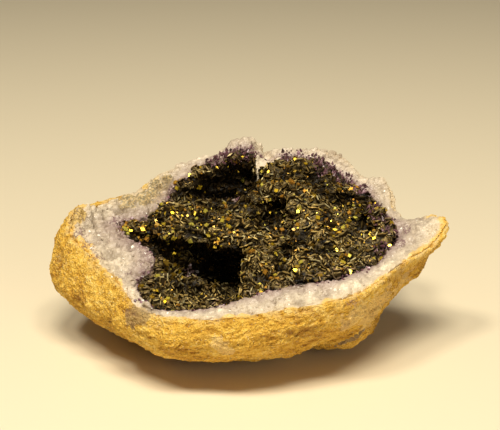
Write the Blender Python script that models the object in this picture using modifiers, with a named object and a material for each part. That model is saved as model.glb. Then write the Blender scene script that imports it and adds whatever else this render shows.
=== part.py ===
"""Half of an amethyst geode, broken open and lying on its rounded back.

Three pieces grown one inside the other: the ochre rind, the wall of pale quartz
that lines it, and the dark crust of crystals that lines the hollow.

Metres, +Z up, the hollow open upwards and towards -Y. The origin is on the
ground, under the middle of the geode.
"""

import math
import random

import bmesh
import bpy
from mathutils import Matrix, Vector, noise
from mathutils.bvhtree import BVHTree

MM = 0.001

# Millimetres, each row one station of the broken edge, anticlockwise from the left corner:
# the outer lip of the rind, then the lip of the hollow, each as x, y, z.
BREAK_STATIONS = (
    ((-55, 2, 36.5), (-38, 4, 34.5)),
    ((-51, -4, 34.5), (-33.5, 1.5, 33)),
    ((-47, -9, 33), (-30.5, -2, 32)),
    ((-42, -15.5, 30.5), (-28.5, -6.5, 30)),
    ((-38, -20.5, 28.8), (-31, -12, 28.8)),
    ((-35, -25.5, 27.2), (-33, -19, 27.6)),
    ((-32, -30, 25.8), (-31.5, -25, 26.5)),
    ((-27, -34.5, 25.2), (-27.5, -30, 25.6)),
    ((-19.5, -37.5, 25.5), (-20, -32.5, 25.8)),
    ((-8, -38.5, 25.8), (-9.5, -31.5, 26.8)),
    ((4, -38, 27.3), (1.5, -29.5, 28.8)),
    ((14, -36.5, 28.5), (11.5, -27.5, 31.3)),
    ((24, -34.5, 29), (21, -27, 32.3)),
    ((33, -30.5, 30.3), (28.5, -24, 32.6)),
    ((41.5, -22, 33.2), (36, -17, 33)),
    ((48.5, -14.5, 34.4), (40.5, -10.5, 34.6)),
    ((54.5, -8.5, 35.2), (43.5, -5, 35.4)),
    ((60, -2, 40.2), (44, 0, 36)),
    ((57.5, 5, 39.8), (43, 5.5, 38)),
    ((51, 11, 36.6), (41.8, 9.5, 38.8)),
    ((47.8, 15.5, 35.4), (40.8, 14, 38.6)),
    ((45.8, 21, 38.8), (39, 19, 39.8)),
    ((44.3, 26.5, 44), (36.5, 24, 41.7)),
    ((37, 32, 43.2), (32, 28.8, 43)),
    ((31.5, 36, 48.5), (27, 33, 45.3)),
    ((22.5, 38.5, 51.3), (20, 35.5, 48.2)),
    ((12, 40, 50.4), (11, 37.3, 49)),
    ((4.5, 40.5, 50), (4.5, 37.3, 46)),
    ((1.8, 38, 54.5), (1.8, 34.5, 52.4)),
    ((-5, 37.4, 53.9), (-3.5, 33.2, 52.8)),
    ((-11, 36, 51), (-9, 31.5, 51)),
    ((-19, 33, 49), (-16, 28.8, 48)),
    ((-28.5, 30, 46.2), (-25, 24.3, 42)),
    ((-35, 26.2, 41), (-26.5, 19.5, 38)),
    ((-41.5, 23, 40.7), (-30.5, 15.5, 35)),
    ((-48, 18, 40), (-35.5, 13.5, 34.7)),
    ((-53.8, 10.5, 41.2), (-40.5, 10, 36)),
)

SEGMENTS = 72  # round the geode

RIND_THICKNESS = 2.3
RIND_LIP = 0.9  # the rind thins to this at the break
# How far down the outside the rind stops, and how much farther at the back, where the quartz is bare.
RIND_TOP = 0.012
RIND_TOP_AT_BACK = 0.05
LAYER_GAP = 0.32  # keeps the quartz clear of the rind
CRUST_GAP = 0.42  # keeps the crystals clear of the quartz
BACK_SPREAD = 1.1  # how far the bare quartz at the back stands out over the rind

# The outside swells out below the lip, most of all on the left.
SWELL = 4.0
SWELL_TO_LEFT = 9.0
SWELL_TO_ENDS = 5.0
SWELL_DROP = 0.4  # share of the lip's height over which it swells
FOOT_CENTRE = (-2.0, 6.0, 0.0)
FOOT_HALF = (25.0, 14.0)  # half length and half width of the flat that it rests on
FOOT_REACH = 19.0  # how slowly the underside leaves the ground
FOOT_REACH_TO_LEFT = 7.0
FOOT_LIFT = 4.5

# Where the shell bulges or is dented, as a centre, how far round it that reaches, and the way it moves.
BULGES = (
    ((-58, 0, 20), 22, (-2.6, 0, -0.6)), ((-28, -24, 7), 18, (0.3, 1.2, 1.3)),
    ((-10, -28, 6), 22, (0, 0.8, 0.9)), ((33, -10, 8), 20, (0.4, -4, -3)),
    ((56, -1, 32), 13, (-3.6, 0, 1)),
)

# Wavelength and height of the relief: of the whole shell, of the rind's surface and of the break.
SHELL_RELIEF = ((30.0, 4.2), (14.0, 2.8))
RIND_RELIEF = ((8.0, 1.3), (5.0, 0.6))
BREAK_RELIEF = ((12.0, 1.5), (5.0, 1.1))
# Where in the noise each relief is taken from.
SHELL_SEED = 3.1
RIND_SEED = 5.9
BREAK_SEED = 7.7
CRUST_SEED = 5.3
# The relief dies away over the first and last of the way from lip to foot, this fast.
FADE_FROM_LIP = 5.0
FADE_TO_FOOT = 4.0
RIND_ROUGHNESS_AT_LIP = 0.4
BREAK_ROUGHNESS_AT_LIPS = 0.4
RIND_THINS_OVER = 0.25  # share of the way from lip to foot

HOLLOW_FLOOR = (-7.0, 1.0, 7.0)  # where the quartz lining is deepest
HOLLOW_MIDDLE = (-7.0, 1.0, 34.0)
LINING_BULGE = 1.5  # how far the lining hangs back under the lip
LINING_BULGE_AT_BACK = 3.0
LINING_DROP = 0.42
LINING_REACH = 0.52
LINING_LIFT = 0.5

# How far round from lip to bottom each layer has its rings.
RIND_PLACES = (0.9, 0.77, 0.64, 0.52, 0.4, 0.29, 0.18, 0.08)
SHELL_PLACES = (0.2, 0.42, 0.68, 1.0)
BREAK_PLACES = (0.0, 0.22, 0.48, 0.76, 1.0)
LINING_PLACES = (0.16, 0.36, 0.58, 0.8)

CRUST_THICKNESS = 3.4
CRUST_LIP = 1.6  # the crust's width at the lip
CRUST_RISE = 1.0  # how far it stands up over the lip
CRUST_RISE_INSIDE = 0.3
CRUST_OVERLAP = 2.5  # what the trimming body cuts away of the crust's back
CRUST_CELL = 3.2
CRUST_RELIEF = ((9.0, 1.7),)
CRUST_JITTER = 0.55
ROOM_RISES = (0.0, 8.0, 20.0)  # the trimming body goes straight up this far over the lip
ROOM_TOP = (0.0, 0.0, 75.0)

# The crust's larger swellings, as centre x, y, z and radius, in millimetres.
MOUND_SWELLINGS = (
    (26, -6, 16, 17), (34, 8, 21, 14), (18, 8, 18, 15), (22, 22, 26, 14),
    (8, -10, 13, 12), (8, 22, 25, 11), (26, -17, 18, 12), (12, -19, 16, 11),
)
LUMPS = (
    (4, 20, 39, 5), (11, 24, 40, 6), (8, 31, 44.5, 5), (17.5, 31, 44, 6), (15.5, 17, 37, 6),
    (24, 24, 39.5, 6.5), (31.5, 20, 38, 5.5), (23, 10, 34, 7), (30.5, 5, 33.5, 5.5),
    (39.5, 10, 35, 5), (41.5, 0, 32.5, 4.5), (34, -8, 30, 6), (26, -6, 29.5, 7.5),
    (17.5, -3, 31, 7), (15.5, 6, 34.5, 5), (27.5, -18, 28.5, 5), (20, -16, 28.5, 6),
    (13.5, -14, 29.5, 5), (5.5, -8, 30.5, 5.5), (3, -12, 28.5, 5), (2, -20, 26.5, 4),
    (11.5, -22, 28, 4), (3.5, -2, 33, 4.5), (10.5, -3, 32, 4),
    (-25.5, -10, 19, 5), (-29, -22, 20.5, 4.5), (-19, -20, 19, 5), (-10, -21, 20, 4.5),
    (-18, 2, 17, 4), (-30, 4, 17, 6), (-14.5, 30, 40, 4.5), (-6.5, 34, 43, 5),
)
# Ledges that reach out over the deep chamber on the left.
LEDGES = (
    (-28, 12, 32, 4), (-22.5, 15, 36, 7), (-23, 9, 32.5, 5), (-15.5, 8, 34, 6),
    (-8.5, 12, 35.5, 6), (-7.5, 4, 31.5, 5), (-1.5, 12, 36, 5), (-1.5, 3, 32, 5),
    (-14, 16, 36.5, 5),
)
LUMP_SHAPE = (1.12, 1.0, 0.85)  # half length, width and height for a radius of 1
LEDGE_SHAPE = (1.2, 1.0, 0.55)
# Pits between the lumps, as centre x, y, z, radius and depth.
PITS = (
    (7.5, 14, 36, 7, 4), (35, 4, 35, 6, 3), (11, -8, 32, 5, 3), (6, -5, 34, 4, 2.5),
    (18, 24, 44, 5, 2.5), (28, 14, 40, 5, 3), (-11, 15, 39, 5, 2),
)

POINT_HEIGHT = (0.9, 2.4)  # shortest and tallest crystal point
POINT_STEEPNESS = 0.6  # tallest point, as a share of its cell's side
POINT_LEAN = 0.22
POINT_CLEARANCE = 0.1  # from the quartz
SMALLEST_POINT = 0.1
ROUNDS_OF_PARTING = 8  # in which crossed points are drawn back by these shares
TIP_DRAWN_BACK = 0.3
FOOT_DRAWN_BACK = 0.08
SMALLEST_CELL = 3.0  # square millimetres, below which no point grows


def clear_scene():
    for obj in list(bpy.data.objects):
        bpy.data.objects.remove(obj)


def make_collection(name):
    collection = bpy.data.collections.new(name)
    bpy.context.scene.collection.children.link(collection)
    return collection


def make_material(name, colour, roughness, metallic=0.0):
    material = bpy.data.materials.new(name)
    material.use_nodes = True
    shader = material.node_tree.nodes["Principled BSDF"]
    shader.inputs["Base Color"].default_value = (*colour, 1.0)
    shader.inputs["Roughness"].default_value = roughness
    shader.inputs["Metallic"].default_value = metallic
    return material


def through_points(points, place):
    """A smooth closed curve through the points, at a place counted in points."""
    count = len(points)
    first = math.floor(place)
    t = place - first
    a, b, c, d = (points[(first + k) % count] for k in (-1, 0, 1, 2))
    bend = (2 * a - 5 * b + 4 * c - d) * t**2 + (3 * b - a - 3 * c + d) * t**3
    return b + 0.5 * ((c - a) * t + bend)


def even_places(points, number):
    """Places that divide the closed curve through the points into equal lengths."""
    steps = 40 * len(points)
    places = [len(points) * k / steps for k in range(steps + 1)]
    line = [through_points(points, place) for place in places]
    travelled = [0.0]
    for before, after in zip(line, line[1:]):
        travelled.append(travelled[-1] + (after - before).length)
    found = []
    at = 0
    for k in range(number):
        target = travelled[-1] * k / number
        while travelled[at + 1] < target:
            at += 1
        share = (target - travelled[at]) / (travelled[at + 1] - travelled[at])
        found.append(places[at] + share * (places[at + 1] - places[at]))
    return found


def bezier(a, b, c, d, t):
    s = 1 - t
    return a * s**3 + b * 3 * s**2 * t + c * 3 * s * t**2 + d * t**3


def relief(point, layers, seed):
    """Height of the lumps at a point, in millimetres."""
    offset = Vector((seed, 2 * seed, -seed))
    return sum(height * noise.noise(point / wavelength + offset) for wavelength, height in layers)


def bulge(point):
    """How far the bulges and dents move a point of the shell."""
    move = Vector()
    for centre, reach, way in BULGES:
        nearness = max(0.0, 1 - ((point - Vector(centre)).length / reach) ** 2)
        move += Vector(way) * nearness**2
    return move


class Lips:
    """The two edges of the break, and the outside and lining that hang from them."""

    def __init__(self):
        outer = [Vector(row[0]) for row in BREAK_STATIONS]
        inner = [Vector(row[1]) for row in BREAK_STATIONS]
        places = even_places(outer, SEGMENTS)
        self.outer = []
        for place in places:
            lip = through_points(outer, place)
            facing_back = max(0.0, lip.normalized().y)
            self.outer.append(lip + Vector((0, 1, 0.7)) * BACK_SPREAD * facing_back)
        self.inner = [through_points(inner, place) for place in places]

    def outside(self, segment, t):
        """A point on the shell, from the lip at t 0 to the edge of the foot at t 1."""
        lip = self.outer[segment % SEGMENTS]
        away = Vector((lip.x, lip.y, 0)).normalized()
        swell = SWELL - SWELL_TO_LEFT * away.x + SWELL_TO_ENDS * away.x**2
        reach = FOOT_REACH - FOOT_REACH_TO_LEFT * away.x
        angle = math.atan2(lip.y / FOOT_HALF[1], lip.x / FOOT_HALF[0])
        foot = Vector((FOOT_HALF[0] * math.cos(angle), FOOT_HALF[1] * math.sin(angle), 0))
        foot += Vector(FOOT_CENTRE)
        upper = lip + away * swell - Vector((0, 0, SWELL_DROP * lip.z))
        lower = foot + away * reach + Vector((0, 0, FOOT_LIFT))
        point = bezier(lip, upper, lower, foot, t)
        fade = min(1.0, FADE_FROM_LIP * t, FADE_TO_FOOT * (1 - t))
        return point + away * relief(point, SHELL_RELIEF, SHELL_SEED) * fade + bulge(point) * fade

    def outside_normal(self, segment, t):
        step = 0.03
        along = self.outside(segment + 1, t) - self.outside(segment - 1, t)
        down = self.outside(segment, min(t + step, 1)) - self.outside(segment, max(t - step, 0))
        normal = down.cross(along).normalized()
        return normal.lerp(Vector((0, 0, -1)), t**6).normalized()

    def sunk(self, segment, t, depth):
        """The point of the shell at this depth, less near the lip, where the rind thins."""
        depth -= (RIND_THICKNESS - RIND_LIP) * max(0.0, 1 - t / RIND_THINS_OVER)
        return self.outside(segment, t) - self.outside_normal(segment, t) * depth

    def sunk_ring(self, t, depth):
        return [self.sunk(segment, t, depth) for segment in range(SEGMENTS)]

    def rind_top(self, segment):
        """How far down the outside the rind stops."""
        return RIND_TOP + RIND_TOP_AT_BACK * max(0.0, self.outer[segment].normalized().y)

    def top_ring(self, depth):
        """The ring that is sunk level with the rind's upper edge."""
        return [self.sunk(segment, self.rind_top(segment), depth) for segment in range(SEGMENTS)]

    def rough_ring(self, t):
        """One ring of the rind's weathered surface."""
        ring = []
        for segment in range(SEGMENTS):
            place = max(t, self.rind_top(segment))
            point = self.outside(segment, place)
            fade = min(1.0, RIND_ROUGHNESS_AT_LIP + FADE_FROM_LIP * t, FADE_TO_FOOT * (1 - t))
            height = relief(point, RIND_RELIEF, RIND_SEED) * fade
            ring.append(point + self.outside_normal(segment, place) * height)
        return ring

    def break_ring(self, share):
        """One ring of the quartz's broken face, from the rind at share 0 to the hollow's lip at 1."""
        roughness = BREAK_ROUGHNESS_AT_LIPS
        roughness += (1 - roughness) * 4 * share * (1 - share)
        ring = []
        for segment in range(SEGMENTS):
            edge = self.sunk(segment, 0, RIND_THICKNESS + LAYER_GAP)
            point = edge.lerp(self.inner[segment], share)
            point.z += relief(point, BREAK_RELIEF, BREAK_SEED) * roughness
            ring.append(point)
        return ring

    def lining(self, segment, t):
        """A point on the hollow's lining, from its lip at t 0 to the deepest place at t 1."""
        lip = self.inner[segment % SEGMENTS]
        floor = Vector(HOLLOW_FLOOR)
        reach = Vector((lip.x - floor.x, lip.y - floor.y, 0))
        out = reach.normalized()
        drop = Vector((0, 0, LINING_DROP * (lip.z - floor.z)))
        bulge = LINING_BULGE + (LINING_BULGE_AT_BACK - LINING_BULGE) * max(0.0, out.y)
        upper = lip + out * bulge - drop
        lower = floor + reach * LINING_REACH + Vector((0, 0, LINING_LIFT))
        return bezier(lip, upper, lower, floor, t)

    def lining_ring(self, t, inward):
        """One ring of the lining, moved into the hollow by inward."""
        ring = []
        for segment in range(SEGMENTS):
            point = self.lining(segment, t)
            ring.append(point + (Vector(HOLLOW_MIDDLE) - point).normalized() * inward)
        return ring

    def lip_ring(self, inward, rise):
        """The hollow's lip, drawn in level by inward and raised."""
        ring = []
        for point in self.inner:
            towards = Vector((HOLLOW_FLOOR[0] - point.x, HOLLOW_FLOOR[1] - point.y, 0))
            ring.append(point + towards.normalized() * inward + Vector((0, 0, rise)))
        return ring


def pressed_ball(name, rings, low_pole, high_pole):
    """A ball pressed into the rings, which run from its low pole up to its high one."""
    bands = len(rings) + 1
    shape = bmesh.new()
    bmesh.ops.create_uvsphere(shape, u_segments=SEGMENTS, v_segments=bands, radius=1)
    for vertex in shape.verts:
        band = round(bands * (0.5 + math.asin(max(-1.0, min(1.0, vertex.co.z))) / math.pi))
        segment = round(SEGMENTS * math.atan2(vertex.co.y, vertex.co.x) / math.tau) % SEGMENTS
        if band == 0:
            vertex.co = low_pole * MM
        elif band == bands:
            vertex.co = high_pole * MM
        else:
            vertex.co = rings[band - 1][segment] * MM
    bmesh.ops.triangulate(shape, faces=shape.faces[:])
    mesh = bpy.data.meshes.new(name)
    shape.to_mesh(mesh)
    shape.free()
    return bpy.data.objects.new(name, mesh)


def make_rind(lips):
    """The weathered skin: flat foot, rough outside, thin broken edge, smooth back against the quartz."""
    foot = Vector(FOOT_CENTRE)
    rings = [lips.rough_ring(t) for t in (1.0, *RIND_PLACES, 0.0)]
    rings.append(lips.top_ring(RIND_THICKNESS))
    rings += [lips.sunk_ring(t, RIND_THICKNESS) for t in SHELL_PLACES]
    return pressed_ball("rind", rings, foot, foot + Vector((0, 0, RIND_THICKNESS)))


def make_quartz_wall(lips):
    """The pale quartz between the rind and the hollow, with its broken upper face."""
    depth = RIND_THICKNESS + LAYER_GAP
    rings = [lips.sunk_ring(t, depth) for t in reversed(SHELL_PLACES)]
    rings.append(lips.top_ring(depth))
    rings += [lips.break_ring(share) for share in BREAK_PLACES]
    rings += [lips.lining_ring(t, 0) for t in LINING_PLACES]
    low = Vector(FOOT_CENTRE) + Vector((0, 0, depth))
    return pressed_ball("quartz_wall", rings, low, Vector(HOLLOW_FLOOR))


def make_lump(centre, radius, shape):
    lump = bmesh.new()
    sizes = (radius * side * MM for side in shape)
    place = Matrix.Translation(Vector(centre) * MM) @ Matrix.Diagonal((*sizes, 1))
    bmesh.ops.create_icosphere(lump, subdivisions=3, radius=1, matrix=place)
    mesh = bpy.data.meshes.new("lump")
    lump.to_mesh(mesh)
    lump.free()
    return bpy.data.objects.new("lump", mesh)


def crust_forms(lips):
    """The thin lining of crystals, and the lumps and ledges that swell out of it."""
    places = LINING_PLACES
    rings = [lips.lining_ring(t, -CRUST_OVERLAP) for t in reversed(places)]
    rings.append(lips.lip_ring(-CRUST_OVERLAP, 0))
    rings.append(lips.lip_ring(0, CRUST_RISE))
    rings.append(lips.lip_ring(CRUST_LIP, CRUST_RISE_INSIDE))
    rings += [lips.lining_ring(t, CRUST_THICKNESS) for t in places]
    floor = Vector(HOLLOW_FLOOR)
    below = floor - Vector((0, 0, CRUST_OVERLAP))
    above = floor + Vector((0, 0, CRUST_THICKNESS))
    forms = [pressed_ball("crust_lining", rings, below, above)]
    for x, y, z, radius in MOUND_SWELLINGS + LUMPS:
        forms.append(make_lump((x, y, z), radius, LUMP_SHAPE))
    for x, y, z, radius in LEDGES:
        forms.append(make_lump((x, y, z), radius, LEDGE_SHAPE))
    return forms


def evaluated_mesh(obj):
    bpy.context.view_layer.update()
    graph = bpy.context.evaluated_depsgraph_get()
    return bpy.data.meshes.new_from_object(obj.evaluated_get(graph))


def joined(name, forms, collection):
    shape = bmesh.new()
    for form in forms:
        shape.from_mesh(form.data)
        bpy.data.objects.remove(form)
    mesh = bpy.data.meshes.new(name)
    shape.to_mesh(mesh)
    shape.free()
    obj = bpy.data.objects.new(name, mesh)
    collection.objects.link(obj)
    return obj


def make_crust_room(lips, collection):
    """The room that the crust may fill: the hollow less the gap to the quartz, with a dome over it."""
    rings = [lips.lining_ring(t, CRUST_GAP) for t in reversed(LINING_PLACES)]
    rings += [lips.lip_ring(CRUST_GAP, rise) for rise in ROOM_RISES]
    floor = Vector(HOLLOW_FLOOR) + Vector((0, 0, CRUST_GAP))
    room = pressed_ball("crust_room", rings, floor, Vector(ROOM_TOP))
    collection.objects.link(room)
    room.hide_render = True
    room.display_type = "WIRE"
    return room


def roughen(mesh):
    """Rolls the crust's skin, sinks its pits and shakes its cells out of their grid."""
    draw = random.Random(23)
    for vertex in mesh.vertices:
        point = vertex.co / MM
        height = relief(point, CRUST_RELIEF, CRUST_SEED)
        for x, y, z, radius, depth in PITS:
            near = max(0.0, 1 - (point - Vector((x, y, z))).length / radius)
            height -= depth * near * (2 - near)
        shake = Vector([draw.uniform(-1, 1) for _ in range(3)]) * CRUST_JITTER
        vertex.co += (vertex.normal * height + shake) * MM


def keep_largest_body(shape):
    shape.verts.ensure_lookup_table()
    unseen = set(shape.verts)
    bodies = []
    while unseen:
        edge = [unseen.pop()]
        body = set(edge)
        while edge:
            vertex = edge.pop()
            for link in vertex.link_edges:
                other = link.other_vert(vertex)
                if other not in body:
                    body.add(other)
                    edge.append(other)
        unseen -= body
        bodies.append(body)
    bodies.sort(key=len)
    loose = [vertex for body in bodies[:-1] for vertex in body]
    bmesh.ops.delete(shape, geom=loose, context="VERTS")


def grow_points(shape, room):
    """Raises a crystal point on each of the crust's cells that looks into the hollow."""
    draw = random.Random(11)
    shape.normal_update()
    tips = {}
    for face in list(shape.faces):
        centre = face.calc_center_median()
        cell = face.calc_area() / MM**2
        _, _, _, distance = room.find_nearest(centre)
        if cell < SMALLEST_CELL or distance < 0.5 * CRUST_GAP * MM:
            continue
        normal = face.normal.copy()
        lean = Vector([draw.uniform(-1, 1) for _ in range(3)]) * POINT_LEAN
        direction = (normal + lean).normalized()
        height = min(draw.uniform(*POINT_HEIGHT), POINT_STEEPNESS * math.sqrt(cell)) * MM
        while outside_room(centre + direction * height, room) and height > SMALLEST_POINT * MM:
            height *= 0.6
        tip = bmesh.ops.poke(shape, faces=[face])["verts"][0]
        tip.co = centre + direction * height
        tips[tip] = centre
    part_crossed_points(shape, tips)


def part_crossed_points(shape, tips):
    """Lowers the points that run into each other in the pits."""
    bmesh.ops.triangulate(shape, faces=shape.faces[:])
    for _ in range(ROUNDS_OF_PARTING):
        shape.faces.ensure_lookup_table()
        tree = BVHTree.FromBMesh(shape)
        for one, other in tree.overlap(tree):
            corners = set(shape.faces[one].verts) | set(shape.faces[other].verts)
            if len(corners) < 6:
                continue
            for vertex in corners:
                home = tips.get(vertex)
                if home:
                    vertex.co = vertex.co.lerp(home, TIP_DRAWN_BACK)
                else:
                    around = [edge.other_vert(vertex).co for edge in vertex.link_edges]
                    vertex.co = vertex.co.lerp(sum(around, Vector()) / len(around), FOOT_DRAWN_BACK)


def outside_room(point, room):
    near, normal, _, distance = room.find_nearest(point)
    return distance < POINT_CLEARANCE * MM or (point - near).dot(normal) > 0


def make_crust(lips, collection, cutters):
    crust = joined("crystal_crust", crust_forms(lips), collection)
    remesh = crust.modifiers.new("one skin", "REMESH")
    remesh.mode = "VOXEL"
    remesh.voxel_size = CRUST_CELL * MM
    crust.data = evaluated_mesh(crust)
    crust.modifiers.remove(remesh)
    roughen(crust.data)
    trim = crust.modifiers.new("trim", "BOOLEAN")
    trim.operation = "INTERSECT"
    trim.solver = "EXACT"
    trim.object = make_crust_room(lips, cutters)
    mesh = evaluated_mesh(crust)
    shape = bmesh.new()
    shape.from_mesh(trim.object.data)
    room = BVHTree.FromBMesh(shape)
    shape.clear()
    shape.from_mesh(mesh)
    keep_largest_body(shape)
    grow_points(shape, room)
    shape.to_mesh(mesh)
    shape.free()
    crust.modifiers.remove(trim)
    crust.data = mesh
    return crust


def stand_on_origin(pieces, cutters):
    """Moves everything so that the middle of the geode's extents is over the origin."""
    corners = [vertex.co for piece in pieces for vertex in piece.data.vertices]
    middle = [(min(c[k] for c in corners) + max(c[k] for c in corners)) / 2 for k in (0, 1)]
    for piece in (*pieces, *cutters):
        piece.data.transform(Matrix.Translation((-middle[0], -middle[1], 0)))


def main():
    clear_scene()
    collection = make_collection("geode half")
    cutters = make_collection("cutters")
    lips = Lips()
    rind = make_rind(lips)
    quartz = make_quartz_wall(lips)
    collection.objects.link(rind)
    collection.objects.link(quartz)
    crust = make_crust(lips, collection, cutters)
    rind.data.materials.append(make_material("ochre rind", (0.72, 0.42, 0.13), 0.85))
    quartz.data.materials.append(make_material("pale quartz", (0.66, 0.62, 0.63), 0.35))
    crust.data.materials.append(make_material("bronzed crystals", (0.09, 0.07, 0.03), 0.3, 0.6))
    stand_on_origin((rind, quartz, crust), cutters.objects)


main()
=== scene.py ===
import math
import random

import bpy
import numpy as np
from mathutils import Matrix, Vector, noise
from mathutils.bvhtree import BVHTree


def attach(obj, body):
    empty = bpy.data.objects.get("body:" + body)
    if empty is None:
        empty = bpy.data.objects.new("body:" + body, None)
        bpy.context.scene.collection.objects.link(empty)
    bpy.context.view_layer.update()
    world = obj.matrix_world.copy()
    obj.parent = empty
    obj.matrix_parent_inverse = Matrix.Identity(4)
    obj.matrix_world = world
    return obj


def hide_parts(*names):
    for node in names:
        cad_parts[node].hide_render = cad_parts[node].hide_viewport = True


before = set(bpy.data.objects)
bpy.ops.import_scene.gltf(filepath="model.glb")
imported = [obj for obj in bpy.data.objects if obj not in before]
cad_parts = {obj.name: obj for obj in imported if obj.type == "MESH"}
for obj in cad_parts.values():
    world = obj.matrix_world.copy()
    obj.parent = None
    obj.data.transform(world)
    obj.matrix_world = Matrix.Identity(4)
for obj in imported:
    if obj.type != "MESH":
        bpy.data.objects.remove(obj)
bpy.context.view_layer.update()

MM = 0.001

# Without a seed of its own, noise_vector differs from run to run.
noise.seed_set(5)

# The camera: how far down it looks, how far off it is, and what it looks at.
VIEW_DOWN = math.radians(20)
VIEW_DISTANCE = 400 * MM
VIEW_AIM = Vector((1.066, -0.101, 42)) * MM
LENS = 96
SENSOR = 36

# The mesh of each layer, as the side of its small faces.
SKIN_GRAIN = 0.66 * MM
QUARTZ_GRAIN = 0.63 * MM
BED_GRAIN = 0.55 * MM

# Each kind of crystal: millimetres between neighbours, widths and heights, how thin they are for their
# width, how unevenly they lean, and how deep their feet sink into the stone.
BLADES = dict(spacing=0.8, width=(0.8, 2.6), height=(0.4, 1.3), thin=(0.13, 0.26), lean=0.22, sink=0.3)
POINTS = dict(spacing=1.3, width=(0.6, 1.4), height=(0.4, 1.2), thin=(0.6, 1.0), lean=0.45, sink=0.3)
GOLD = dict(spacing=0.95, width=(0.6, 2.3), height=(0.3, 0.8), thin=(0.45, 1.0), lean=0.33, sink=0.1)
PURPLE = dict(spacing=0.85, width=(0.6, 1.4), height=(0.6, 2.1), thin=(0.5, 1.0), lean=0.3, sink=0.35)
SPILL = dict(spacing=0.95, width=(0.6, 1.4), height=(0.3, 0.9), thin=(0.6, 1.0), lean=0.4, sink=0.2)
MILKY = dict(spacing=1.25, width=(0.7, 1.7), height=(0.06, 0.3), thin=(0.6, 1.0), lean=0.35, sink=0.25)
LILAC = dict(spacing=0.9, width=(0.9, 1.6), height=(0.6, 1.4), thin=(0.7, 1.0), lean=0.4, sink=0.3)
# The small dark cells between the crests of the crust, in millimetres.
CELL = 2.2
# How deep the pocket is pressed in, and how much stone stays between it and the rind, in millimetres.
POCKET_DEPTH = 6.0
SPARE_QUARTZ = 0.7
SPARE_CRUST = 1.7
# The pocket's painted shade lies this much further back and lower than its shape.
POCKET_SHADE_OFFSET = Vector((0, 1.5, -0.5))
# Where the white fin stands, and how high up in the view the wedge beside it starts, in millimetres.
FIN_X = 3.5
WEDGE_UP = 54.6

# Where the crystals stay purple, as centre x, y, z and reach, in millimetres.
PURPLE_PLACES = (
    (-4, 33, 51.5, 5), (0.5, 33, 51.5, 3.8), (-11, 31, 49.5, 3.5), (13.5, 35, 47.5, 4), (18.5, 34.5, 47, 5),
    (25, 31.5, 46, 5.5), (31, 28.5, 43.5, 5), (22, 29, 43.5, 4.5), (37, 22, 41.5, 4), (41, 14, 38.5, 4.5),
    (43, 7, 37, 4), (43.5, 0, 36, 3.2), (40, -9, 34.5, 3), (27, -23, 32, 2.5),
    (13, 37, 49, 3.5), (17, 37.5, 49.5, 4), (22, 35, 48, 3.5), (24, 28, 47.5, 4), (28, 28.5, 45, 3.5),
)
LILAC_PLACE = (-17.1, 11, 18.9, 2.6)
# The deepest parts of the hollow, where the crystals are painted dark as shade, without tan.
PAINTED_SHADE_PLACES = ((-10, 8, 22, 11), (-24, 5, 27, 8), (-16, -2, 20, 6), (-1, 2, 28, 5),
               (-35, 4, 33, 5), (-32, 2, 31.5, 5.5), (-29, -2, 30, 5.5), (-26, 0, 27, 6))
# Where less of the pale tan is painted on, so the crystals come out darker.
DIM_PLACES = ((14, 25, 44, 9), (-13, 17, 38, 12), (-13, 13, 38, 13), (25, 27, 45, 13), (2, 14, 36, 9),
              (-27, 10, 34, 7), (42, 12, 37, 6))
# Where more of the crystals have turned gold.
GOLD_PLACES = (
    (-30.5, 10, 33, 6), (-25, 7.5, 34, 7), (-21, 13, 37.5, 4), (-14, 13, 38, 4), (38, 4, 34, 6),
    (33, 13, 38, 6), (27, 3, 34, 5), (20, 8, 36, 5), (10, 22, 42, 4),
)

# Dark pits between the crystals, as centre x, y, z, reach and depth, in millimetres.
PITS = (
    (9, 16.5, 36.5, 7.0, 5.0), (34.5, 6.5, 36, 7.5, 4.0), (-8, 17, 38.5, 6.0, 4.0),
    (12.5, -6.5, 32.5, 4.5, 4.0), (10, -15, 30, 4.5, 3.0), (-1.5, 17, 37.5, 5.0, 3.5),
    (22, 20, 41, 5.0, 3.0), (30, 18, 40, 4.5, 2.5), (22, 0, 34, 4.0, 2.5), (2, -9, 28, 4.0, 3.0),
)

# Marks on the stone, as centre x, y, z and reach, in millimetres.
GREY_STREAK = ((34.5, -20.3, 13.4, 0.7), (33.5, -20.4, 12.5, 0.9), (32.5, -20.4, 11.6, 1.1),
               (31.2, -20.1, 10.6, 1.2), (30, -19.8, 9.6, 1.3), (28.8, -19.4, 8.8, 1.2),
               (27.7, -19, 8.0, 1.0), (26.5, -18.8, 7.2, 0.8),
               (47, -0.5, 17.7, 0.9), (45.5, -2, 15.8, 0.9), (44, -3.5, 14, 0.7))
NOTCH = ((-30, -32.6, 24, 4.0), (-32.5, -31.4, 21.5, 2.5), (-28, -31.8, 25.5, 2.5))
PURPLE_STAINS = ((-50.5, 1.5, 35.5, 2.6), (-47.5, -3.5, 34, 2.6), (-44.5, -8.5, 32, 2.4),
                 (-28.6, -2.2, 31.4, 1.8), (-31, -8, 28.5, 2.2), (29.7, -32.9, 28, 1.6),
                 (-40.8, 11.5, 36.5, 2.0), (47, 0.5, 37.2, 2.6),
                 (45, -6, 35.4, 2.4), (-34.5, -13.5, 27.3, 2.2))
CREAM_STAINS = ((-33.5, 24.5, 40, 5), (-29, 24, 41, 4.5), (-37, 22, 39.5, 4), (-26.5, 26.5, 42.5, 4))
OCHRE_CAP = ((-54.5, 7.5, 37.5, 5.0), (-52, 8, 39, 3.5), (-56, 3.5, 36.5, 3.0), (-52.5, 9.5, 39, 2.5))
# Pale patches on the rind: a real pale streak at the front, and painted light that brightens the right end.
PALE_STREAK_AND_PAINTED_LIGHT = ((-5.9, -40.5, 16.8, 3.0), (-8, -40, 19.5, 2.5), (40, -14, 27, 6), (37, -22, 21, 8),
               (44, -10, 24, 7), (30, -29, 22, 6))
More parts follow.
